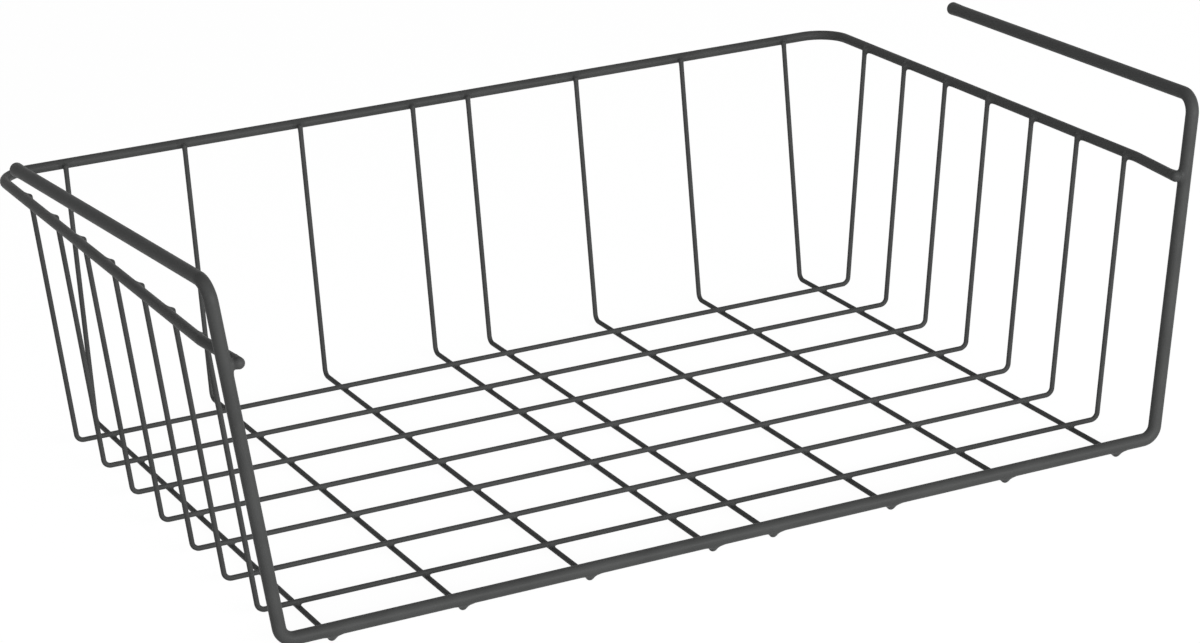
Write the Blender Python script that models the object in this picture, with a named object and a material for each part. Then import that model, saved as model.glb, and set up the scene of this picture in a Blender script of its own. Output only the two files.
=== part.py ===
"""Under-shelf wire basket.

A thick bent rod makes two arms that lie on a shelf, two front legs and the bottom front edge.
A medium rod makes the rim. Eight thin L-shaped wires run from front to back, and seven thin
U-shaped wires run across, on top of them. All are steel wires welded where they cross and coated
dark grey.
Metres, +Z up. The open front faces -Y. The origin is the middle of the footprint, under the floor.
"""

import math

import bpy
from mathutils import Vector

# Wire thicknesses, measured over the coating.
THIN_DIAMETER = 0.0020
RIM_DIAMETER = 0.0040
FRAME_DIAMETER = 0.0050

# Clearance left at every weld, between the two wires that it joins.
WELD_GAP = 0.0003

# Depth from the front rod, which the rim's ends are level with, to the rear of the rim.
DEPTH = 0.2642

# Height of the rear rim's axis over the surface below, and how much higher its front ends lie.
RIM_HEIGHT = 0.1059
RIM_RISE = 0.0025

# Lean of the rear wall and of the side walls out of the vertical. The side walls lean more and more
# from their rear end toward the legs.
REAR_LEAN = math.radians(5.5)
SIDE_REAR_LEAN = math.radians(5.8)
SIDE_FRONT_LEAN = math.radians(6.6)

# The floor's width between the side walls.
FLOOR_WIDTH = 0.3520

# Cross wires: their count, and where the first and last lie from the front rod and the rear wall's foot.
CROSS_COUNT = 7
CROSS_FRONT_SETBACK = 0.0325
CROSS_REAR_SETBACK = 0.0211

# Long wires: distances of the outer two from the side walls' feet, the gaps from left to right as
# shares of the widest, and how far the front tips lie behind the rod's front.
LONG_LEFT_SETBACK = 0.0150
LONG_RIGHT_SETBACK = 0.0120
LONG_GAP_SHARES = (1.0, 1.0, 1.0, 0.5, 1.0, 1.0, 1.0)
LONG_FRONT_SETBACK = 0.0015

# How far the upper tips of the thin wires stand over the rim's axis.
CROSS_TIP_RISE = 0.0008
LONG_TIP_RISE = 0.0004

# The rim's side rails draw in by this much, from just ahead of the first cross wire to the legs.
RIM_PINCH = 0.0026
PINCH_SETBACK = 0.0040

# The slot for the shelf: height from the rim's front ends to the corners where leg and arm meet.
SLOT_HEIGHT = 0.0295

# Lean of the legs to the side and to the rear.
LEG_LEAN = math.radians(7.2)
LEG_SETBACK_LEAN = math.radians(0.7)

# The arms, from that corner to the free end.
ARM_REACH = 0.1830
ARM_DROP = 0.0068
ARM_SPLAY = 0.0066

# Bend radii at the wires' axes.
THIN_BEND = 0.0030
RIM_BEND = 0.0095
PINCH_BEND = 0.0200
FOOT_BEND = 0.0055
SHOULDER_BEND = 0.0070

# Facets: rings in each bend and end, and the resolution of the round sections.
THIN_BEND_STEPS = 5
ROD_BEND_STEPS = 8
PINCH_BEND_STEPS = 2
END_RINGS = 3
END_ANGLE = math.radians(68.0)
THIN_RESOLUTION = 2
ROD_RESOLUTION = 4

COATING_COLOUR = (0.045, 0.046, 0.046, 1.0)
COATING_ROUGHNESS = 0.48

# Places that follow from the sizes above.
THIN_RADIUS = THIN_DIAMETER / 2
RIM_RADIUS = RIM_DIAMETER / 2
FRAME_RADIUS = FRAME_DIAMETER / 2

RIM_WELD_Z = RIM_HEIGHT + RIM_RISE
SHOULDER_Z = RIM_WELD_Z + SLOT_HEIGHT
LONG_Z = THIN_RADIUS
CROSS_Z = LONG_Z + THIN_DIAMETER + WELD_GAP
FRONT_ROD_Z = LONG_Z + THIN_RADIUS + WELD_GAP + FRAME_RADIUS

FRONT_Y = -DEPTH / 2
FRONT_ROD_Y = FRONT_Y + FRAME_RADIUS
FIRST_CROSS_Y = FRONT_ROD_Y + CROSS_FRONT_SETBACK
REAR_RIM_Y = DEPTH / 2 - RIM_RADIUS

# Level distances between the axes of two wires welded together, one of them leaning.
RIM_TO_THIN = (RIM_RADIUS + WELD_GAP + THIN_RADIUS) / math.cos(REAR_LEAN)
RIM_TO_LEG = (RIM_RADIUS + WELD_GAP + FRAME_RADIUS) / math.cos(LEG_LEAN)

CROSS_CORNER_X = FLOOR_WIDTH / 2
LONG_CORNER_Y = REAR_RIM_Y - RIM_TO_THIN - (RIM_HEIGHT - LONG_Z) * math.tan(REAR_LEAN)
CROSS_PITCH = (LONG_CORNER_Y - CROSS_REAR_SETBACK - FIRST_CROSS_Y) / (CROSS_COUNT - 1)
LONG_PITCH = (FLOOR_WIDTH - LONG_LEFT_SETBACK - LONG_RIGHT_SETBACK) / sum(LONG_GAP_SHARES)


def leg_y(height):
    """Front-to-rear place of the legs' axes at a height."""
    return FRONT_ROD_Y + (height - FRONT_ROD_Z) * math.tan(LEG_SETBACK_LEAN)


RIM_WELD_Y = leg_y(RIM_WELD_Z)


def rim_height(y):
    """Height of the rim's axis, which rises evenly from the rear to its welds on the legs."""
    return RIM_HEIGHT + RIM_RISE * (REAR_RIM_Y - y) / (REAR_RIM_Y - RIM_WELD_Y)


def cross_x(height, y):
    """Sideways place of a cross wire's axis at a height on the side wall."""
    share = (REAR_RIM_Y - y) / (REAR_RIM_Y - RIM_WELD_Y)
    slope = math.tan(SIDE_REAR_LEAN) + share * (math.tan(SIDE_FRONT_LEAN) - math.tan(SIDE_REAR_LEAN))
    return CROSS_CORNER_X + (height - CROSS_Z) * slope


def rim_x(y):
    """Sideways place of the rim's axis, just outside the cross wires."""
    return cross_x(rim_height(y), y) + RIM_TO_THIN


RIM_WELD_X = rim_x(RIM_WELD_Y) - RIM_PINCH


def leg_x(height):
    """Sideways place of the legs' axes at a height. They pass just outside the rim's ends."""
    return RIM_WELD_X + RIM_TO_LEG + (height - RIM_WELD_Z) * math.tan(LEG_LEAN)


def rounded_path(corners, bends, steps):
    """Points along straight runs between corners, each inner corner turned at its bend radius."""
    points = [corners[0]]
    for before, corner, after, bend, count in zip(corners, corners[1:], corners[2:], bends, steps):
        back = (before - corner).normalized()
        ahead = (after - corner).normalized()
        half_angle = back.angle(ahead) / 2
        centre = corner + (back + ahead).normalized() * bend / math.sin(half_angle)
        start = corner + back * bend / math.tan(half_angle) - centre
        end = corner + ahead * bend / math.tan(half_angle) - centre
        turn = start.angle(end)
        for step in range(count + 1):
            share = step / count
            near = math.sin((1 - share) * turn) / math.sin(turn)
            far = math.sin(share * turn) / math.sin(turn)
            points.append(centre + start * near + end * far)
    points.append(corners[-1])
    return points


def end_rings(tip, inner, radius):
    """Points and thickness shares that round off a wire's end, from its tip inward."""
    inward = (inner - tip).normalized()
    base = tip + inward * radius * math.sin(END_ANGLE)
    rings = []
    for ring in range(END_RINGS, -1, -1):
        angle = END_ANGLE * ring / END_RINGS
        rings.append((base - inward * radius * math.sin(angle), math.cos(angle)))
    return rings


def wire_curve(name, path, diameter, resolution, material):
    """A round bar along the path, with rounded ends. Its flats lie at its radius from the axis."""
    # A bevelled curve has four sides, and two more for each step of its resolution.
    sides = 4 + 2 * resolution
    radius = diameter / 2
    curve = bpy.data.curves.new(name, "CURVE")
    curve.dimensions = "3D"
    curve.twist_mode = "MINIMUM"
    curve.bevel_resolution = resolution
    curve.bevel_depth = radius / math.cos(math.pi / sides)
    curve.use_fill_caps = True
    rings = end_rings(path[0], path[1], radius)
    rings += [(point, 1.0) for point in path[1:-1]]
    rings += reversed(end_rings(path[-1], path[-2], radius))
    spline = curve.splines.new("POLY")
    spline.points.add(len(rings) - 1)
    for point, (place, share) in zip(spline.points, rings):
        point.co = (*place, 1.0)
        point.radius = share
        point.tilt = math.pi / sides
    spline.use_smooth = True
    curve.materials.append(material)
    return curve


def coating(name):
    """Smooth dark grey powder coating."""
    material = bpy.data.materials.new(name)
    material.use_nodes = True
    shader = material.node_tree.nodes["Principled BSDF"]
    shader.inputs["Base Color"].default_value = COATING_COLOUR
    shader.inputs["Roughness"].default_value = COATING_ROUGHNESS
    shader.inputs["Metallic"].default_value = 0.0
    material.diffuse_color = COATING_COLOUR
    return material


def add_object(name, curve, place, collection, parent):
    """Places one piece and hangs it under the basket's empty."""
    piece = bpy.data.objects.new(name, curve)
    piece.location = place
    piece.parent = parent
    collection.objects.link(piece)
    return piece


def mirrored(points):
    """The points of the other side, in reverse order."""
    return [Vector((-point.x, point.y, point.z)) for point in reversed(points)]


def frame_curve():
    """Left arm, left leg, bottom front rod, right leg and right arm, from one rod."""
    shoulder = Vector((-leg_x(SHOULDER_Z), leg_y(SHOULDER_Z), SHOULDER_Z))
    foot = Vector((-leg_x(FRONT_ROD_Z), FRONT_ROD_Y, FRONT_ROD_Z))
    arm_end = shoulder + Vector((-ARM_SPLAY, ARM_REACH, -ARM_DROP))
    left = [arm_end, shoulder, foot]
    bends = [SHOULDER_BEND, FOOT_BEND, FOOT_BEND, SHOULDER_BEND]
    path = rounded_path(left + mirrored(left), bends, [ROD_BEND_STEPS] * len(bends))
    return wire_curve("hanger_frame", path, FRAME_DIAMETER, ROD_RESOLUTION, coating("frame_coating"))


def rim_curve():
    """The three-sided rim, open at the front."""
    inner_y = RIM_WELD_Y + FRAME_RADIUS
    pinch_y = FIRST_CROSS_Y - PINCH_SETBACK
    left = [
        Vector((-RIM_WELD_X, FRONT_Y, rim_height(FRONT_Y))),
        Vector((-RIM_WELD_X, inner_y, rim_height(inner_y))),
        Vector((-rim_x(pinch_y), pinch_y, rim_height(pinch_y))),
        Vector((-rim_x(REAR_RIM_Y), REAR_RIM_Y, RIM_HEIGHT)),
    ]
    bends = [PINCH_BEND, PINCH_BEND, RIM_BEND]
    steps = [PINCH_BEND_STEPS, PINCH_BEND_STEPS, ROD_BEND_STEPS]
    path = rounded_path(left + mirrored(left), bends + bends[::-1], steps + steps[::-1])
    return wire_curve("rim", path, RIM_DIAMETER, ROD_RESOLUTION, coating("rim_coating"))


def cross_curve(name, y, material):
    """One U-shaped cross wire, in the plane of its object's origin, ending just over the rim's axis."""
    tip_z = rim_height(y) + CROSS_TIP_RISE
    left = [Vector((-cross_x(tip_z, y), 0.0, tip_z)), Vector((-CROSS_CORNER_X, 0.0, CROSS_Z))]
    path = rounded_path(left + mirrored(left), [THIN_BEND] * 2, [THIN_BEND_STEPS] * 2)
    return wire_curve(name, path, THIN_DIAMETER, THIN_RESOLUTION, material)


def long_curve():
    """One L-shaped wire: from under the front rod along the floor, up to the inside of the rim."""
    tip_z = RIM_HEIGHT + LONG_TIP_RISE
    tip_y = LONG_CORNER_Y + (tip_z - LONG_Z) * math.tan(REAR_LEAN)
    corners = [
        Vector((0.0, FRONT_Y + LONG_FRONT_SETBACK, LONG_Z)),
        Vector((0.0, LONG_CORNER_Y, LONG_Z)),
        Vector((0.0, tip_y, tip_z)),
    ]
    path = rounded_path(corners, [THIN_BEND], [THIN_BEND_STEPS])
    return wire_curve("long_wire", path, THIN_DIAMETER, THIN_RESOLUTION, coating("long_wire_coating"))


def long_places():
    """Sideways places of the long wires, from left to right."""
    places = [LONG_LEFT_SETBACK - CROSS_CORNER_X]
    for share in LONG_GAP_SHARES:
        places.append(places[-1] + LONG_PITCH * share)
    return places


def build():
    for leftover in list(bpy.data.objects):
        bpy.data.objects.remove(leftover, do_unlink=True)
    collection = bpy.data.collections.new("under_shelf_basket")
    bpy.context.scene.collection.children.link(collection)
    basket = bpy.data.objects.new("under_shelf_basket", None)
    collection.objects.link(basket)

    origin = (0.0, 0.0, 0.0)
    add_object("hanger_frame", frame_curve(), origin, collection, basket)
    add_object("rim", rim_curve(), origin, collection, basket)
    cross_coating = coating("cross_wire_coating")
    for index in range(CROSS_COUNT):
        name = f"cross_wire_{index + 1}"
        y = FIRST_CROSS_Y + CROSS_PITCH * index
        add_object(name, cross_curve(name, y, cross_coating), (0.0, y, 0.0), collection, basket)
    long_wire = long_curve()
    for number, x in enumerate(long_places(), start=1):
        add_object(f"long_wire_{number}", long_wire, (x, 0.0, 0.0), collection, basket)


build()
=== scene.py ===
"""Looks of the under-shelf wire basket: smooth coated wires with their welds, a white floor, soft light."""

import math

import bmesh
import bpy
import numpy as np
from mathutils import Euler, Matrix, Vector


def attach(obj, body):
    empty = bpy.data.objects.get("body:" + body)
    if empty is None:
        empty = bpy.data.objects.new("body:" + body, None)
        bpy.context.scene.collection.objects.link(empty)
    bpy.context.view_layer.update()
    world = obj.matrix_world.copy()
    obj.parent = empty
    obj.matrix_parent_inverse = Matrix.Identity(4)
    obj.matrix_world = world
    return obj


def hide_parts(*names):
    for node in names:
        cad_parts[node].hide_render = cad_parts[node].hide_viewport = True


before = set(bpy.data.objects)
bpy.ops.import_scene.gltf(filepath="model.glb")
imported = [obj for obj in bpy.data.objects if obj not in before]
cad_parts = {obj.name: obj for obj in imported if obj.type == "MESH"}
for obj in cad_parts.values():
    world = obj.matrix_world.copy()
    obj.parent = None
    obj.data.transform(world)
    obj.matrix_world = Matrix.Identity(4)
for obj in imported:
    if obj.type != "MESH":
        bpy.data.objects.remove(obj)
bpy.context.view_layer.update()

# The basket's sizes in metres, as in the CAD model, THIN, RIM and ROD being wire radii. The side walls'
# lean at the rear, the legs' lean to the rear and the rim's corners follow the photograph closer.
THIN = 0.0010
RIM = 0.0020
ROD = 0.0025
WELD_GAP = 0.0003
DEPTH = 0.2642
RIM_HEIGHT = 0.1059
RIM_RISE = 0.0025
REAR_LEAN = math.radians(5.5)
SIDE_REAR_LEAN = math.radians(5.5)
SIDE_FRONT_LEAN = math.radians(6.6)
FLOOR_WIDTH = 0.3520
CROSS_COUNT = 7
CROSS_FRONT_SETBACK = 0.0325
CROSS_REAR_SETBACK = 0.0211
LONG_LEFT_SETBACK = 0.0150
LONG_RIGHT_SETBACK = 0.0120
LONG_GAP_SHARES = (1.0, 1.0, 1.0, 0.5, 1.0, 1.0, 1.0)
CROSS_TIP_RISE = 0.0008
LONG_TIP_RISE = 0.0004
RIM_PINCH = 0.0026
PINCH_SETBACK = 0.0040
SLOT_HEIGHT = 0.0295
LEG_LEAN = math.radians(7.2)
LEG_SETBACK_LEAN = math.radians(0.2)
ARM_REACH = 0.1830
ARM_DROP = 0.0068
ARM_SPLAY = 0.0066
THIN_BEND = 0.0030
RIM_BEND = 0.0140
PINCH_BEND = 0.0200
FOOT_BEND = 0.0055
SHOULDER_BEND = 0.0070

# Welding presses the cross wires down into the long wires, and the rails of the rim and the legs in
# towards the cross wires. The cross wires' tips stand lower, and the long wires end under the front rod.
CROSS_SET_DOWN = 0.0005
TIP_SET_DOWN = 0.0001
RIM_SET_IN = 0.0005
LONG_FRONT_SETBACK = 0.0032

LONG_Z = THIN
CROSS_Z = LONG_Z + 2 * THIN + WELD_GAP
FRONT_ROD_Z = LONG_Z + THIN + WELD_GAP + ROD
RIM_WELD_Z = RIM_HEIGHT + RIM_RISE
SHOULDER_Z = RIM_WELD_Z + SLOT_HEIGHT
FRONT_Y = -DEPTH / 2
FRONT_ROD_Y = FRONT_Y + ROD
FIRST_CROSS_Y = FRONT_ROD_Y + CROSS_FRONT_SETBACK
REAR_RIM_Y = DEPTH / 2 - RIM
RIM_TO_THIN = (RIM + WELD_GAP + THIN) / math.cos(REAR_LEAN)
RIM_TO_LEG = (RIM + WELD_GAP + ROD) / math.cos(LEG_LEAN)
CROSS_CORNER_X = FLOOR_WIDTH / 2
LONG_CORNER_Y = REAR_RIM_Y - RIM_TO_THIN - (RIM_HEIGHT - LONG_Z) * math.tan(REAR_LEAN)
CROSS_PITCH = (LONG_CORNER_Y - CROSS_REAR_SETBACK - FIRST_CROSS_Y) / (CROSS_COUNT - 1)
LONG_PITCH = (FLOOR_WIDTH - LONG_LEFT_SETBACK - LONG_RIGHT_SETBACK) / sum(LONG_GAP_SHARES)
CROSS_YS = [FIRST_CROSS_Y + CROSS_PITCH * index for index in range(CROSS_COUNT)]
LONG_XS = [LONG_LEFT_SETBACK - CROSS_CORNER_X]
for gap_share in LONG_GAP_SHARES:
    LONG_XS.append(LONG_XS[-1] + LONG_PITCH * gap_share)


def leg_y(height):
    return FRONT_ROD_Y + (height - FRONT_ROD_Z) * math.tan(LEG_SETBACK_LEAN)


RIM_WELD_Y = leg_y(RIM_WELD_Z)


def rim_height(y):
    return RIM_HEIGHT + RIM_RISE * (REAR_RIM_Y - y) / (REAR_RIM_Y - RIM_WELD_Y)


def side_slope(y):
    share = (REAR_RIM_Y - y) / (REAR_RIM_Y - RIM_WELD_Y)
    return math.tan(SIDE_REAR_LEAN) + share * (math.tan(SIDE_FRONT_LEAN) - math.tan(SIDE_REAR_LEAN))


def cross_x(height, y):
    return CROSS_CORNER_X + (height - CROSS_Z) * side_slope(y)


def rim_x(y):
    return cross_x(rim_height(y), y) + RIM_TO_THIN - RIM_SET_IN


RIM_WELD_X = rim_x(RIM_WELD_Y) - RIM_PINCH


def leg_x(height):
    return RIM_WELD_X + RIM_TO_LEG + (height - RIM_WELD_Z) * math.tan(LEG_LEAN)


def long_y(height):
    return LONG_CORNER_Y + (height - LONG_Z) * math.tan(REAR_LEAN)


def make_camera():
    """Matched to the photograph's angle."""
    data = bpy.data.cameras.new("camera")
    data.sensor_width = 36.0
    data.lens = 112.123
    data.clip_start = 0.01
    camera = bpy.data.objects.new("camera", data)
    camera.location = (-0.59153, -1.23742, 0.53369)
    camera.rotation_euler = Euler([math.radians(a) for a in (70.4635, 2.1377, -26.6564)])
    bpy.context.scene.collection.objects.link(camera)
    bpy.context.scene.camera = camera


def coating(name, colour, roughness):
    """Satin baked coating: fine orange peel, faint cloudiness in tone and gloss."""
    material = bpy.data.materials.new(name)
    material.use_nodes = True
    tree = material.node_tree
    shader = tree.nodes["Principled BSDF"]
    coordinates = tree.nodes.new("ShaderNodeTexCoord")

    clouds = tree.nodes.new("ShaderNodeTexNoise")
    clouds.inputs["Scale"].default_value = 60.0
    clouds.inputs["Detail"].default_value = 3.0
    tree.links.new(coordinates.outputs["Object"], clouds.inputs["Vector"])

    peel = tree.nodes.new("ShaderNodeTexNoise")
    peel.inputs["Scale"].default_value = 1400.0
    peel.inputs["Detail"].default_value = 2.0
    tree.links.new(coordinates.outputs["Object"], peel.inputs["Vector"])

    tone = tree.nodes.new("ShaderNodeValToRGB")
    tone.color_ramp.elements[0].position = 0.3
    tone.color_ramp.elements[1].position = 0.7
    tone.color_ramp.elements[0].color = tuple(0.90 * c for c in colour) + (1.0,)
    tone.color_ramp.elements[1].color = tuple(1.10 * c for c in colour) + (1.0,)
    tree.links.new(clouds.outputs["Fac"], tone.inputs["Fac"])
    tree.links.new(tone.outputs["Color"], shader.inputs["Base Color"])

    gloss = tree.nodes.new("ShaderNodeMapRange")
    gloss.inputs["From Min"].default_value = 0.3
    gloss.inputs["From Max"].default_value = 0.7
    gloss.inputs["To Min"].default_value = roughness - 0.05
    gloss.inputs["To Max"].default_value = roughness + 0.05
    tree.links.new(clouds.outputs["Fac"], gloss.inputs["Value"])
    tree.links.new(gloss.outputs["Result"], shader.inputs["Roughness"])

    bump = tree.nodes.new("ShaderNodeBump")
    bump.inputs["Strength"].default_value = 0.50
    bump.inputs["Distance"].default_value = 0.00006
    tree.links.new(peel.outputs["Fac"], bump.inputs["Height"])
    tree.links.new(bump.outputs["Normal"], shader.inputs["Normal"])
    shader.inputs["Metallic"].default_value = 0.0
    shader.inputs["Specular IOR Level"].default_value = 0.06
    return material


# Wires. Each gauge is a radius, the depth of the domed ends as a share of it, and a bevel resolution.
ROD_GAUGE = (ROD, 0.65, 10)
RIM_GAUGE = (RIM, 1.0, 8)
CROSS_GAUGE = (THIN, 1.0, 6)
LONG_GAUGE = (THIN, 0.5, 6)
THICK_BEND_STEPS = 14
THIN_BEND_STEPS = 10

# The coating's swelling at a wire's end: rings in the dome, the last ring's angle, the widths of the
# dome and of the neck behind it as shares of the wire's, and where neck and plain wire start, in radii.
DOME_STEPS = 8
DOME_ANGLE = math.radians(86.0)
DOME_WIDTH = 1.08
NECK_WIDTH = 1.04
NECK_START = 2.2
PLAIN_START = 3.4


def rounded_path(corners, bends, steps):
    """Points along straight runs between corners, each inner corner turned at its bend radius."""
    points = [corners[0]]
    for before, corner, after, bend in zip(corners, corners[1:], corners[2:], bends):
        back = (before - corner).normalized()
        ahead = (after - corner).normalized()
        half_angle = back.angle(ahead) / 2
        centre = corner + (back + ahead).normalized() * bend / math.sin(half_angle)
        start = corner + back * bend / math.tan(half_angle) - centre
        end = corner + ahead * bend / math.tan(half_angle) - centre
        turn = start.angle(end)
        for step in range(steps + 1):
            share = step / steps
            near = math.sin((1 - share) * turn) / math.sin(turn)
            far = math.sin(share * turn) / math.sin(turn)
            points.append(centre + start * near + end * far)
    points.append(corners[-1])
    return points


def end_rings(tip, inner, radius, dome):
    """A domed end with a slight swelling, as the coating gathers there."""
    inward = (inner - tip).normalized()
    rings = []
    for step in range(DOME_STEPS, -1, -1):
        angle = DOME_ANGLE * step / DOME_STEPS
        rings.append((tip + inward * dome * radius * (1 - math.sin(angle)), DOME_WIDTH * math.cos(angle)))
    rings.append((tip + inward * NECK_START * radius, NECK_WIDTH))
    rings.append((tip + inward * PLAIN_START * radius, 1.0))
    return rings


def wire(name, path, gauge, material, node):
    """A smooth coated wire along the path, which stands for a CAD node."""
    radius, dome, resolution = gauge
    curve = bpy.data.curves.new(name, "CURVE")
    curve.dimensions = "3D"
    curve.twist_mode = "MINIMUM"
    curve.bevel_resolution = resolution
    curve.bevel_depth = radius
    curve.use_fill_caps = True
    rings = end_rings(path[0], path[1], radius, dome)
    rings += [(point, 1.0) for point in path[1:-1]]
    rings += reversed(end_rings(path[-1], path[-2], radius, dome))
    spline = curve.splines.new("POLY")
    spline.points.add(len(rings) - 1)
    for point, (place, share) in zip(spline.points, rings):
        point.co = (*place, 1.0)
        point.radius = share
    spline.use_smooth = True
    curve.materials.append(material)
    piece = bpy.data.objects.new(name, curve)
    bpy.context.scene.collection.objects.link(piece)
    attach(piece, "root")
    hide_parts(node)


def mirrored(points):
    return [Vector((-point.x, point.y, point.z)) for point in reversed(points)]


def frame_path():
    shoulder = Vector((-leg_x(SHOULDER_Z), leg_y(SHOULDER_Z), SHOULDER_Z))
    foot = Vector((-leg_x(FRONT_ROD_Z), FRONT_ROD_Y, FRONT_ROD_Z))
    arm_end = shoulder + Vector((-ARM_SPLAY, ARM_REACH, -ARM_DROP))
    left = [arm_end, shoulder, foot]
    bends = [SHOULDER_BEND, FOOT_BEND]
    return rounded_path(left + mirrored(left), bends + bends[::-1], THICK_BEND_STEPS)


def rim_path():
    inner_y = RIM_WELD_Y + ROD
    pinch_y = FIRST_CROSS_Y - PINCH_SETBACK
    left = [
        Vector((-RIM_WELD_X, FRONT_Y, rim_height(FRONT_Y))),
        Vector((-RIM_WELD_X, inner_y, rim_height(inner_y))),
        Vector((-rim_x(pinch_y), pinch_y, rim_height(pinch_y))),
        Vector((-rim_x(REAR_RIM_Y), REAR_RIM_Y, RIM_HEIGHT)),
    ]
    bends = [PINCH_BEND, PINCH_BEND, RIM_BEND]
    return rounded_path(left + mirrored(left), bends + bends[::-1], THICK_BEND_STEPS)


def cross_path(y):
    tip_z = rim_height(y) + CROSS_TIP_RISE - TIP_SET_DOWN
    floor_z = CROSS_Z - CROSS_SET_DOWN
    left = [Vector((-cross_x(tip_z, y), y, tip_z)), Vector((-cross_x(floor_z, y), y, floor_z))]
    return rounded_path(left + mirrored(left), [THIN_BEND] * 2, THIN_BEND_STEPS)


def long_path(x):
    tip_z = RIM_HEIGHT + LONG_TIP_RISE
    corners = [
        Vector((x, FRONT_Y + LONG_FRONT_SETBACK, LONG_Z)),
        Vector((x, LONG_CORNER_Y, LONG_Z)),
        Vector((x, long_y(tip_z), tip_z)),
    ]
    return rounded_path(corners, [THIN_BEND], THIN_BEND_STEPS)


# Welds. Each size is the fillet between the two wires and the reach of the skin from its centre.
FLOOR_WELD = (0.0010, 0.0026)
RIM_WELD = (0.0015, 0.0036)
FRONT_WELD = (0.0030, 0.0056)
LEG_WELD = (0.0018, 0.0054)
FRONT_WELD_SETBACK = 0.0006
THIN_RUN = 0.01
THICK_RUN = 0.02
WELD_DETAIL = 4
LEG_WELD_DETAIL = 5

# The skin's swelling grows with the fillet and fades within a share of the reach. Away from the weld the
# skin lies below the wires' surfaces. Its points are found by a scan outwards and then by halving.
SWELL_PER_FILLET = 0.16
LEAST_SWELL = 0.00010
SWELL_SPREAD = 0.55
SKIN_SINK = 0.00005
SCAN_STEPS = 40
HALVINGS = 12

X = Vector((1.0, 0.0, 0.0))
Y = Vector((0.0, 1.0, 0.0))


def ball_directions(subdivisions):
    """Evenly spread directions and the faces that join them."""
    mesh = bmesh.new()
    bmesh.ops.create_icosphere(mesh, subdivisions=subdivisions, radius=1.0)
    directions = np.array([vert.co.normalized() for vert in mesh.verts])
    faces = np.array([[vert.index for vert in face.verts] for face in mesh.faces])
    mesh.free()
    return directions, faces


def off_wire(points, wire_part):
    """Distance of the points from the surface of a straight wire with round ends."""
    start, end, radius = wire_part
    start = np.array(start)
    along = np.array(end) - start
    share = np.clip((points - start) @ along / (along @ along), 0.0, 1.0)
    return np.linalg.norm(points - start - share[..., None] * along, axis=-1) - radius


def weld_points(centre, first, second, size, directions):
    """Points of a skin round the centre that fills the corners between two wires."""
    centre = np.array(centre)
    fillet, reach = size
    swell = SWELL_PER_FILLET * fillet + LEAST_SWELL

    def off_skin(distance):
        points = centre + directions * distance[:, None]
        near = off_wire(points, first)
        far = off_wire(points, second)
        overlap = np.maximum(fillet - np.abs(near - far), 0.0) / fillet
        gathered = swell * np.exp(-((distance / (SWELL_SPREAD * reach)) ** 2)) - SKIN_SINK
        return np.minimum(near, far) - overlap ** 2 * fillet / 4 - gathered

    inner = np.zeros(len(directions))
    outer = np.full(len(directions), reach)
    found = np.zeros(len(directions), dtype=bool)
    for step in range(1, SCAN_STEPS + 1):
        distance = np.full(len(directions), reach * step / SCAN_STEPS)
        out = off_skin(distance) > 0.0
        first_out = out & ~found
        outer[first_out] = distance[first_out]
        inner[~out & ~found] = distance[~out & ~found]
        found |= out
    for _ in range(HALVINGS):
        middle = (inner + outer) / 2
        out = off_skin(middle) > 0.0
        outer = np.where(out, middle, outer)
        inner = np.where(out, inner, middle)
    inner = np.where(found, inner, reach)
    return centre + directions * inner[:, None]


def weld_piece(name, welds, detail, material):
    """One object that holds all the welds of one row."""
    directions, faces = ball_directions(detail)
    places = []
    corners = []
    for number, weld in enumerate(welds):
        places.append(weld_points(*weld, directions))
        corners.append(faces + number * len(directions))
    data = bpy.data.meshes.new(name)
    data.from_pydata(np.concatenate(places).tolist(), [], np.concatenate(corners).tolist())
    data.shade_smooth()
    data.materials.append(material)
    piece = bpy.data.objects.new(name, data)
    bpy.context.scene.collection.objects.link(piece)
    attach(piece, "root")


def stretch(middle, along, before, after, radius):
    """A straight stretch of wire about a point, its radius given, for weld_points."""
    return (middle - along * before, middle + along * after, radius)


def floor_welds():
    """Where the cross wires lie on the long wires."""
    cross_z = CROSS_Z - CROSS_SET_DOWN
    return [
        (
            Vector((x, y, (cross_z + LONG_Z) / 2)),
            stretch(Vector((x, y, cross_z)), X, THIN_RUN, THIN_RUN, THIN),
            stretch(Vector((x, y, LONG_Z)), Y, THIN_RUN, THIN_RUN, THIN),
            FLOOR_WELD,
        )
        for x in LONG_XS
        for y in CROSS_YS
    ]


def rim_weld(rim, along_rim, up_wall, outward, tip_rise, set_in):
    """Where a thin wire ends on the inside of the rim."""
    wall = rim - outward * (RIM + WELD_GAP + THIN - set_in)
    return (
        rim - outward * (RIM + (WELD_GAP - set_in) / 2),
        stretch(wall, up_wall, THIN_RUN, tip_rise - THIN, THIN),
        stretch(rim, along_rim, THIN_RUN, THIN_RUN, RIM),
        RIM_WELD,
    )


def side_welds():
    """Where the rim passes outside the upper ends of the cross wires."""
    welds = []
    for side in (-1, 1):
        for y in CROSS_YS:
            lean = math.atan(side_slope(y))
            up_wall = Vector((side * math.sin(lean), 0.0, math.cos(lean)))
            outward = Vector((side * math.cos(lean), 0.0, -math.sin(lean)))
            rim = Vector((side * rim_x(y), y, rim_height(y)))
            tip_rise = (CROSS_TIP_RISE - TIP_SET_DOWN) / math.cos(lean)
            tip_rise -= (RIM + WELD_GAP + THIN) * math.tan(lean)
            welds.append(rim_weld(rim, Y, up_wall, outward, tip_rise, RIM_SET_IN))
    return welds


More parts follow.
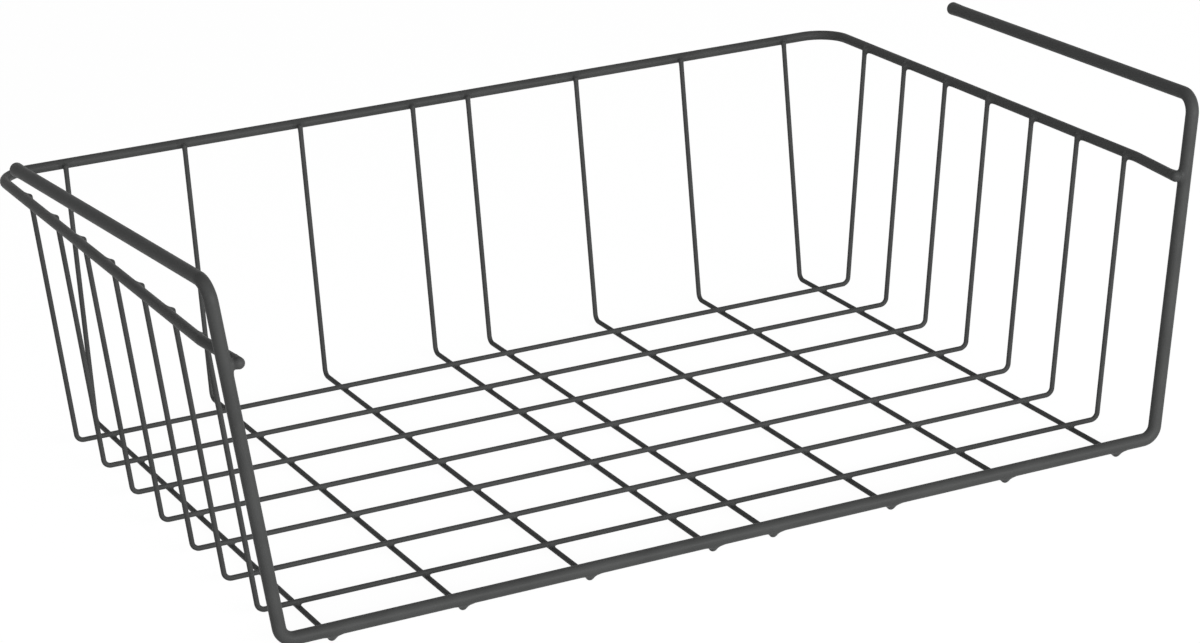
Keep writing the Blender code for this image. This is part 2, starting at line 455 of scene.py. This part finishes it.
def rear_welds():
    """Where the long wires end on the inside of the rear rim."""
    up_wall = Vector((0.0, math.sin(REAR_LEAN), math.cos(REAR_LEAN)))
    outward = Vector((0.0, math.cos(REAR_LEAN), -math.sin(REAR_LEAN)))
    tip_rise = LONG_TIP_RISE / math.cos(REAR_LEAN) - (RIM + WELD_GAP + THIN) * math.tan(REAR_LEAN)
    return [
        rim_weld(Vector((x, REAR_RIM_Y, RIM_HEIGHT)), X, up_wall, outward, tip_rise, 0.0) for x in LONG_XS
    ]


def front_welds():
    """Where the long wires end under the front rod."""
    return [
        (
            Vector((x, FRONT_ROD_Y + FRONT_WELD_SETBACK, (FRONT_ROD_Z - ROD + LONG_Z + THIN) / 2)),
            (
                Vector((x, FRONT_Y + LONG_FRONT_SETBACK + THIN, LONG_Z)),
                Vector((x, FRONT_ROD_Y + THIN_RUN, LONG_Z)),
                THIN,
            ),
            stretch(Vector((x, FRONT_ROD_Y, FRONT_ROD_Z)), X, THIN_RUN, THIN_RUN, ROD),
            FRONT_WELD,
        )
        for x in LONG_XS
    ]


def leg_welds():
    """Where the rim's ends lie inside the legs."""
    welds = []
    for side in (-1, 1):
        up_leg = Vector((side * math.sin(LEG_LEAN), math.sin(LEG_SETBACK_LEAN), math.cos(LEG_LEAN)))
        up_leg.normalize()
        outward = Vector((side * math.cos(LEG_LEAN), 0.0, -math.sin(LEG_LEAN)))
        rim = Vector((side * RIM_WELD_X, RIM_WELD_Y, RIM_WELD_Z))
        leg = rim + outward * (RIM + WELD_GAP + ROD)
        welds.append(
            (
                rim + outward * (RIM + WELD_GAP / 2),
                stretch(rim, Y, RIM_WELD_Y - FRONT_Y - RIM, THICK_RUN, RIM),
                stretch(leg, up_leg, THICK_RUN, THICK_RUN, ROD),
                LEG_WELD,
            )
        )
    return welds


def make_basket():
    dark_grey = (0.050, 0.051, 0.0505)
    frame_material = coating("frame_coating_satin", dark_grey, 0.46)
    rim_material = coating("rim_coating_satin", dark_grey, 0.46)
    cross_material = coating("cross_wire_coating_satin", dark_grey, 0.50)
    long_material = coating("long_wire_coating_satin", dark_grey, 0.50)
    wire("hanger_frame_rod", frame_path(), ROD_GAUGE, frame_material, "hanger_frame")
    wire("rim_rod", rim_path(), RIM_GAUGE, rim_material, "rim")
    for number, y in enumerate(CROSS_YS, start=1):
        node = f"cross_wire_{number}"
        wire(f"{node}_coated", cross_path(y), CROSS_GAUGE, cross_material, node)
    for number, x in enumerate(LONG_XS, start=1):
        node = f"long_wire_{number}"
        wire(f"{node}_coated", long_path(x), LONG_GAUGE, long_material, node)
    weld_piece("floor_welds", floor_welds(), WELD_DETAIL, cross_material)
    weld_piece("side_rim_welds", side_welds(), WELD_DETAIL, rim_material)
    weld_piece("rear_rim_welds", rear_welds(), WELD_DETAIL, rim_material)
    weld_piece("front_rod_welds", front_welds(), WELD_DETAIL, frame_material)
    weld_piece("leg_welds", leg_welds(), LEG_WELD_DETAIL, frame_material)


# Studio. The floor lies just below the lowest weld. Its own glow makes it white in the picture and leaves
# room for the object's shadow. The world's fill is strongest from low on the left and in front.
WHITE = (1.0, 1.0, 1.0, 1.0)
FLOOR_HALF_WIDTH = 6.0
FLOOR_Z = -0.0003
FLOOR_GLOW = 0.952
FILL_FADES_TOWARDS = (0.7, 0.3, 0.8)
SOFTBOX_PLACE = (0.30, -1.50, 0.30)
SOFTBOX_TARGET = (0.0, 0.0, 0.04)
SOFTBOX_SIZE = (1.8, 0.5)
SOFTBOX_WATTS = 31.0


def white_for_camera(tree, other, white):
    """White to the camera, in reflections and through glass, and the other shader to other light."""
    path = tree.nodes.new("ShaderNodeLightPath")
    glossy = tree.nodes.new("ShaderNodeMath")
    glossy.operation = "MAXIMUM"
    tree.links.new(path.outputs["Is Camera Ray"], glossy.inputs[0])
    tree.links.new(path.outputs["Is Glossy Ray"], glossy.inputs[1])
    clear = tree.nodes.new("ShaderNodeMath")
    clear.operation = "MAXIMUM"
    tree.links.new(glossy.outputs["Value"], clear.inputs[0])
    tree.links.new(path.outputs["Is Transmission Ray"], clear.inputs[1])
    mix = tree.nodes.new("ShaderNodeMixShader")
    tree.links.new(clear.outputs["Value"], mix.inputs["Fac"])
    tree.links.new(other, mix.inputs[1])
    tree.links.new(white, mix.inputs[2])
    return mix


def make_floor():
    data = bpy.data.meshes.new("floor")
    mesh = bmesh.new()
    bmesh.ops.create_grid(mesh, x_segments=1, y_segments=1, size=FLOOR_HALF_WIDTH)
    mesh.to_mesh(data)
    mesh.free()
    floor = bpy.data.objects.new("floor", data)
    floor.location = (0.0, 0.0, FLOOR_Z)
    bpy.context.scene.collection.objects.link(floor)
    material = bpy.data.materials.new("floor_white")
    material.use_nodes = True
    tree = material.node_tree
    tree.nodes.clear()
    output = tree.nodes.new("ShaderNodeOutputMaterial")
    paint = tree.nodes.new("ShaderNodeBsdfDiffuse")
    paint.inputs["Color"].default_value = (0.80, 0.80, 0.80, 1.0)
    shade = tree.nodes.new("ShaderNodeBsdfDiffuse")
    shade.inputs["Color"].default_value = (0.12, 0.12, 0.12, 1.0)
    glow = tree.nodes.new("ShaderNodeEmission")
    glow.inputs["Color"].default_value = WHITE
    glow.inputs["Strength"].default_value = FLOOR_GLOW
    both = tree.nodes.new("ShaderNodeAddShader")
    tree.links.new(shade.outputs["BSDF"], both.inputs[0])
    tree.links.new(glow.outputs["Emission"], both.inputs[1])
    mix = white_for_camera(tree, paint.outputs["BSDF"], both.outputs["Shader"])
    tree.links.new(mix.outputs["Shader"], output.inputs["Surface"])
    data.materials.append(material)


def make_world():
    """White to the camera, with a soft fill for the basket."""
    world = bpy.data.worlds.new("studio")
    bpy.context.scene.world = world
    world.use_nodes = True
    tree = world.node_tree
    tree.nodes.clear()
    output = tree.nodes.new("ShaderNodeOutputWorld")
    coordinates = tree.nodes.new("ShaderNodeTexCoord")
    away = tree.nodes.new("ShaderNodeVectorMath")
    away.operation = "DOT_PRODUCT"
    away.inputs[1].default_value = FILL_FADES_TOWARDS
    tree.links.new(coordinates.outputs["Generated"], away.inputs[0])
    level = tree.nodes.new("ShaderNodeMapRange")
    level.inputs["From Min"].default_value = -0.7
    level.inputs["From Max"].default_value = 0.8
    level.inputs["To Min"].default_value = 1.05
    level.inputs["To Max"].default_value = 0.05
    tree.links.new(away.outputs["Value"], level.inputs["Value"])
    fill = tree.nodes.new("ShaderNodeBackground")
    fill.inputs["Color"].default_value = WHITE
    tree.links.new(level.outputs["Result"], fill.inputs["Strength"])
    white = tree.nodes.new("ShaderNodeBackground")
    white.inputs["Color"].default_value = WHITE
    white.inputs["Strength"].default_value = 1.0
    mix = white_for_camera(tree, fill.outputs["Background"], white.outputs["Background"])
    tree.links.new(mix.outputs["Shader"], output.inputs["Surface"])


def make_softbox():
    data = bpy.data.lights.new("front_softbox", "AREA")
    data.shape = "RECTANGLE"
    data.size, data.size_y = SOFTBOX_SIZE
    data.energy = SOFTBOX_WATTS
    lamp = bpy.data.objects.new("front_softbox", data)
    lamp.location = SOFTBOX_PLACE
    forward = Vector(SOFTBOX_TARGET) - Vector(SOFTBOX_PLACE)
    lamp.rotation_euler = forward.to_track_quat("-Z", "Y").to_euler()
    bpy.context.scene.collection.objects.link(lamp)


bpy.context.scene.view_settings.view_transform = "Standard"
make_camera()
make_basket()
make_floor()
make_world()
make_softbox()
